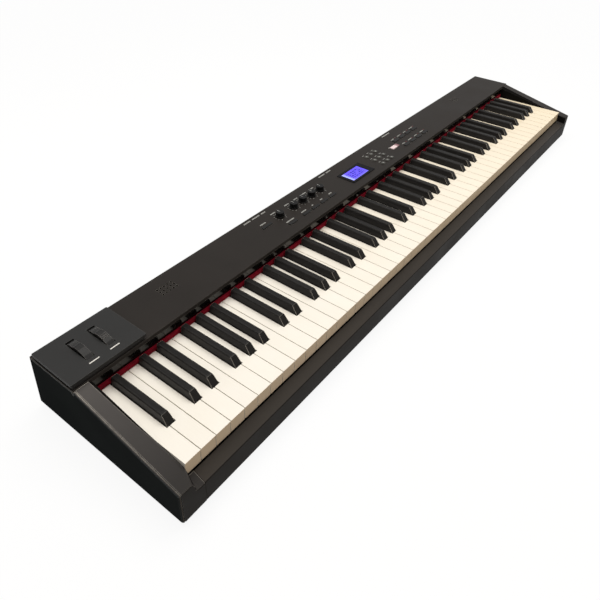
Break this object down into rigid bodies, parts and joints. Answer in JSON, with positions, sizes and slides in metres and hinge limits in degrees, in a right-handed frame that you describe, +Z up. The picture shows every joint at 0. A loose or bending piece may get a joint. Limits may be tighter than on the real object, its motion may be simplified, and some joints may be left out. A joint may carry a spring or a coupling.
{
  "type": "stage piano",
  "caption": "Flat stage piano with a full keyboard of hinged keys, two wheels on a raised plate, turning knobs, push buttons and a display in the top panel.",
  "frame": {"origin": "on the resting surface under the feet, below the middle of the case", "axes": "+X along the keyboard to the player's right, +Y from the player to the rear, +Z up"},
  "size_m": [1.2792, 0.262, 0.1111],
  "materials": {
    "case_black": "matte black powder coat",
    "end_block_black": "fine-grained black plastic",
    "panel_grey": "satin warm dark grey paint",
    "plate_grey": "satin dark grey plastic",
    "gloss_black": "gloss black",
    "red_felt": "red felt",
    "natural_white": "ivory white, satin",
    "sharp_black": "matte black with a fine grain",
    "control_black": "matte black",
    "button_grey": "matte dark grey",
    "lit_red": "translucent, lit pale red",
    "display_blue": "lit blue display behind a clear sheet",
    "rubber": "black rubber",
    "steel": "bright drawn steel",
    "chassis_plastic": "dark grey moulding",
    "board_green": "green circuit board",
    "speaker_black": "black pressed cone and basket"
  },
  "bodies": {
    "case": {"bottom_case": "case_black", "front_rail": "case_black", "left_end_block": "end_block_black", "right_end_block": "end_block_black", "rear_panel": "case_black", "front_left_foot": "rubber", "front_right_foot": "rubber", "rear_left_foot": "rubber", "rear_right_foot": "rubber", "top_panel": "panel_grey", "fallboard_strip": "gloss_black", "felt_strip": "red_felt", "wheel_plate": "plate_grey", "wheel_bracket": "chassis_plastic", "wheel_shaft": "steel", "display_bezel": "gloss_black", "display_lens": "display_blue", "panel_board": "board_green", "left_speaker": "speaker_black", "right_speaker": "speaker_black", "socket_board": "board_green", "power_inlet": "control_black", "key_chassis": "chassis_plastic", "key_pivot_rod": "steel"},
    "naturals_a0_to_b1": {"naturals_a0_to_b1": "natural_white"},
    "sharps_a0_to_a1": {"sharps_a0_to_a1": "sharp_black"},
    "naturals_c2_to_b2": {"naturals_c2_to_b2": "natural_white"},
    "sharps_c2_to_a2": {"sharps_c2_to_a2": "sharp_black"},
    "naturals_c3_to_b3": {"naturals_c3_to_b3": "natural_white"},
    "sharps_c3_to_a3": {"sharps_c3_to_a3": "sharp_black"},
    "naturals_c5_to_b5": {"naturals_c5_to_b5": "natural_white"},
    "sharps_c5_to_a5": {"sharps_c5_to_a5": "sharp_black"},
    "naturals_c6_to_b6": {"naturals_c6_to_b6": "natural_white"},
    "sharps_c6_to_a6": {"sharps_c6_to_a6": "sharp_black"},
    "naturals_c7_to_c8": {"naturals_c7_to_c8": "natural_white"},
    "sharps_c7_to_a7": {"sharps_c7_to_a7": "sharp_black"},
    "key_c4": {"key_c4": "natural_white"},
    "key_c4_sharp": {"key_c4_sharp": "sharp_black"},
    "key_d4": {"key_d4": "natural_white"},
    "key_d4_sharp": {"key_d4_sharp": "sharp_black"},
    "key_e4": {"key_e4": "natural_white"},
    "key_f4": {"key_f4": "natural_white"},
    "key_f4_sharp": {"key_f4_sharp": "sharp_black"},
    "key_g4": {"key_g4": "natural_white"},
    "key_g4_sharp": {"key_g4_sharp": "sharp_black"},
    "key_a4": {"key_a4": "natural_white"},
    "key_a4_sharp": {"key_a4_sharp": "sharp_black"},
    "key_b4": {"key_b4": "natural_white"},
    "pitch_wheel": {"pitch_wheel": "control_black"},
    "modulation_wheel": {"modulation_wheel": "control_black"},
    "knob_1": {"knob_1": "control_black"},
    "knob_2": {"knob_2": "control_black"},
    "knob_3": {"knob_3": "control_black"},
    "knob_4": {"knob_4": "control_black"},
    "knob_5": {"knob_5": "control_black"},
    "power_button": {"power_button": "button_grey"},
    "lit_button": {"lit_button": "lit_red"},
    "function_buttons": {"function_buttons": "button_grey"},
    "cursor_buttons": {"cursor_buttons": "button_grey"},
    "tone_buttons": {"tone_buttons": "button_grey"}
  },
  "joints": [
    {"name": "naturals_a0_to_b1_turn", "type": "hinge", "parent": "case", "child": "naturals_a0_to_b1", "pos_m": [-0.5074, 0.09875, 0.0563], "axis": [1, 0, 0], "range_deg": [0, 2.7], "stiffness_Nm_per_rad": 4.5, "springref_deg": -20.05},
    {"name": "sharps_a0_to_a1_turn", "type": "hinge", "parent": "case", "child": "sharps_a0_to_a1", "pos_m": [-0.5074, 0.09875, 0.0563], "axis": [1, 0, 0], "range_deg": [0, 3.2], "stiffness_Nm_per_rad": 3, "springref_deg": -20.05},
    {"name": "naturals_c2_to_b2_turn", "type": "hinge", "parent": "case", "child": "naturals_c2_to_b2", "pos_m": [-0.3186, 0.09875, 0.0563], "axis": [1, 0, 0], "range_deg": [0, 2.7], "stiffness_Nm_per_rad": 3.5, "springref_deg": -20.05},
    {"name": "sharps_c2_to_a2_turn", "type": "hinge", "parent": "case", "child": "sharps_c2_to_a2", "pos_m": [-0.3186, 0.09875, 0.0563], "axis": [1, 0, 0], "range_deg": [0, 3.2], "stiffness_Nm_per_rad": 2.5, "springref_deg": -20.05},
    {"name": "naturals_c3_to_b3_turn", "type": "hinge", "parent": "case", "child": "naturals_c3_to_b3", "pos_m": [-0.1534, 0.09875, 0.0563], "axis": [1, 0, 0], "range_deg": [0, 2.7], "stiffness_Nm_per_rad": 3.5, "springref_deg": -20.05},
    {"name": "sharps_c3_to_a3_turn", "type": "hinge", "parent": "case", "child": "sharps_c3_to_a3", "pos_m": [-0.1534, 0.09875, 0.0563], "axis": [1, 0, 0], "range_deg": [0, 3.2], "stiffness_Nm_per_rad": 2.5, "springref_deg": -20.05},
    {"name": "naturals_c5_to_b5_turn", "type": "hinge", "parent": "case", "child": "naturals_c5_to_b5", "pos_m": [0.177, 0.09875, 0.0563], "axis": [1, 0, 0], "range_deg": [0, 2.7], "stiffness_Nm_per_rad": 3.5, "springref_deg": -20.05},
    {"name": "sharps_c5_to_a5_turn", "type": "hinge", "parent": "case", "child": "sharps_c5_to_a5", "pos_m": [0.177, 0.09875, 0.0563], "axis": [1, 0, 0], "range_deg": [0, 3.2], "stiffness_Nm_per_rad": 2.5, "springref_deg": -20.05},
    {"name": "naturals_c6_to_b6_turn", "type": "hinge", "parent": "case", "child": "naturals_c6_to_b6", "pos_m": [0.3422, 0.09875, 0.0563], "axis": [1, 0, 0], "range_deg": [0, 2.7], "stiffness_Nm_per_rad": 3.5, "springref_deg": -20.05},
    {"name": "sharps_c6_to_a6_turn", "type": "hinge", "parent": "case", "child": "sharps_c6_to_a6", "pos_m": [0.3422, 0.09875, 0.0563], "axis": [1, 0, 0], "range_deg": [0, 3.2], "stiffness_Nm_per_rad": 2.5, "springref_deg": -20.05},
    {"name": "naturals_c7_to_c8_turn", "type": "hinge", "parent": "case", "child": "naturals_c7_to_c8", "pos_m": [0.5192, 0.09875, 0.0563], "axis": [1, 0, 0], "range_deg": [0, 2.7], "stiffness_Nm_per_rad": 4, "springref_deg": -20.05},
    {"name": "sharps_c7_to_a7_turn", "type": "hinge", "parent": "case", "child": "sharps_c7_to_a7", "pos_m": [0.5192, 0.09875, 0.0563], "axis": [1, 0, 0], "range_deg": [0, 3.2], "stiffness_Nm_per_rad": 2.5, "springref_deg": -20.05},
    {"name": "key_c4_turn", "type": "hinge", "parent": "case", "child": "key_c4", "pos_m": [-0.059, 0.09875, 0.0563], "axis": [1, 0, 0], "range_deg": [0, 2.7], "stiffness_Nm_per_rad": 0.5, "springref_deg": -20.05},
    {"name": "key_c4_sharp_turn", "type": "hinge", "parent": "case", "child": "key_c4_sharp", "pos_m": [-0.04961, 0.09875, 0.0563], "axis": [1, 0, 0], "range_deg": [0, 3.2], "stiffness_Nm_per_rad": 0.5, "springref_deg": -20.05},
    {"name": "key_d4_turn", "type": "hinge", "parent": "case", "child": "key_d4", "pos_m": [-0.0354, 0.09875, 0.0563], "axis": [1, 0, 0], "range_deg": [0, 2.7], "stiffness_Nm_per_rad": 0.5, "springref_deg": -20.05},
    {"name": "key_d4_sharp_turn", "type": "hinge", "parent": "case", "child": "key_d4_sharp", "pos_m": [-0.0211, 0.09875, 0.0563], "axis": [1, 0, 0], "range_deg": [0, 3.2], "stiffness_Nm_per_rad": 0.5, "springref_deg": -20.05},
    {"name": "key_e4_turn", "type": "hinge", "parent": "case", "child": "key_e4", "pos_m": [-0.0118, 0.09875, 0.0563], "axis": [1, 0, 0], "range_deg": [0, 2.7], "stiffness_Nm_per_rad": 0.5, "springref_deg": -20.05},
    {"name": "key_f4_turn", "type": "hinge", "parent": "case", "child": "key_f4", "pos_m": [0.0118, 0.09875, 0.0563], "axis": [1, 0, 0], "range_deg": [0, 2.7], "stiffness_Nm_per_rad": 0.5, "springref_deg": -20.05},
    {"name": "key_f4_sharp_turn", "type": "hinge", "parent": "case", "child": "key_f4_sharp", "pos_m": [0.02011, 0.09875, 0.0563], "axis": [1, 0, 0], "range_deg": [0, 3.2], "stiffness_Nm_per_rad": 0.5, "springref_deg": -20.05},
    {"name": "key_g4_turn", "type": "hinge", "parent": "case", "child": "key_g4", "pos_m": [0.0354, 0.09875, 0.0563], "axis": [1, 0, 0], "range_deg": [0, 2.7], "stiffness_Nm_per_rad": 0.5, "springref_deg": -20.05},
    {"name": "key_g4_sharp_turn", "type": "hinge", "parent": "case", "child": "key_g4_sharp", "pos_m": [0.0472, 0.09875, 0.0563], "axis": [1, 0, 0], "range_deg": [0, 3.2], "stiffness_Nm_per_rad": 0.5, "springref_deg": -20.05},
    {"name": "key_a4_turn", "type": "hinge", "parent": "case", "child": "key_a4", "pos_m": [0.059, 0.09875, 0.0563], "axis": [1, 0, 0], "range_deg": [0, 2.7], "stiffness_Nm_per_rad": 0.5, "springref_deg": -20.05},
    {"name": "key_a4_sharp_turn", "type": "hinge", "parent": "case", "child": "key_a4_sharp", "pos_m": [0.0734, 0.09875, 0.0563], "axis": [1, 0, 0], "range_deg": [0, 3.2], "stiffness_Nm_per_rad": 0.5, "springref_deg": -20.05},
    {"name": "key_b4_turn", "type": "hinge", "parent": "case", "child": "key_b4", "pos_m": [0.0826, 0.09875, 0.0563], "axis": [1, 0, 0], "range_deg": [0, 2.7], "stiffness_Nm_per_rad": 0.5, "springref_deg": -20.05},
    {"name": "pitch_wheel_turn", "type": "hinge", "parent": "case", "child": "pitch_wheel", "pos_m": [-0.5993, 0.0745, 0.07782], "axis": [-1, 0, 0], "range_deg": [-30, 30], "stiffness_Nm_per_rad": 0.06},
    {"name": "modulation_wheel_turn", "type": "hinge", "parent": "case", "child": "modulation_wheel", "pos_m": [-0.5692, 0.0745, 0.07782], "axis": [-1, 0, 0], "range_deg": [0, 60]},
    {"name": "knob_1_turn", "type": "hinge", "parent": "case", "child": "knob_1", "pos_m": [-0.2108, 0.08423, 0.0963], "axis": [0, 0, -1], "range_deg": [-150, 150]},
    {"name": "knob_2_turn", "type": "hinge", "parent": "case", "child": "knob_2", "pos_m": [-0.1742, 0.08423, 0.0963], "axis": [0, 0, -1], "range_deg": [-150, 150]},
    {"name": "knob_3_turn", "type": "hinge", "parent": "case", "child": "knob_3", "pos_m": [-0.1495, 0.08423, 0.0963], "axis": [0, 0, -1], "range_deg": [-150, 150]},
    {"name": "knob_4_turn", "type": "hinge", "parent": "case", "child": "knob_4", "pos_m": [-0.1248, 0.08423, 0.0963], "axis": [0, 0, -1], "range_deg": [-150, 150]},
    {"name": "knob_5_turn", "type": "hinge", "parent": "case", "child": "knob_5", "pos_m": [-0.1001, 0.08423, 0.0963], "axis": [0, 0, -1], "range_deg": [-150, 150]},
    {"name": "power_button_press", "type": "slide", "parent": "case", "child": "power_button", "axis": [0, 0, -1], "range_m": [0, 0.0006], "stiffness_N_per_m": 500, "springref_m": -0.001},
    {"name": "lit_button_press", "type": "slide", "parent": "case", "child": "lit_button", "axis": [0, 0, -1], "range_m": [0, 0.0006], "stiffness_N_per_m": 500, "springref_m": -0.001},
    {"name": "function_buttons_press", "type": "slide", "parent": "case", "child": "function_buttons", "axis": [0, 0, -1], "range_m": [0, 0.0006], "stiffness_N_per_m": 500, "springref_m": -0.001},
    {"name": "cursor_buttons_press", "type": "slide", "parent": "case", "child": "cursor_buttons", "axis": [0, 0, -1], "range_m": [0, 0.0006], "stiffness_N_per_m": 500, "springref_m": -0.001},
    {"name": "tone_buttons_press", "type": "slide", "parent": "case", "child": "tone_buttons", "axis": [0, 0, -1], "range_m": [0, 0.0006], "stiffness_N_per_m": 500, "springref_m": -0.001}
  ]
}
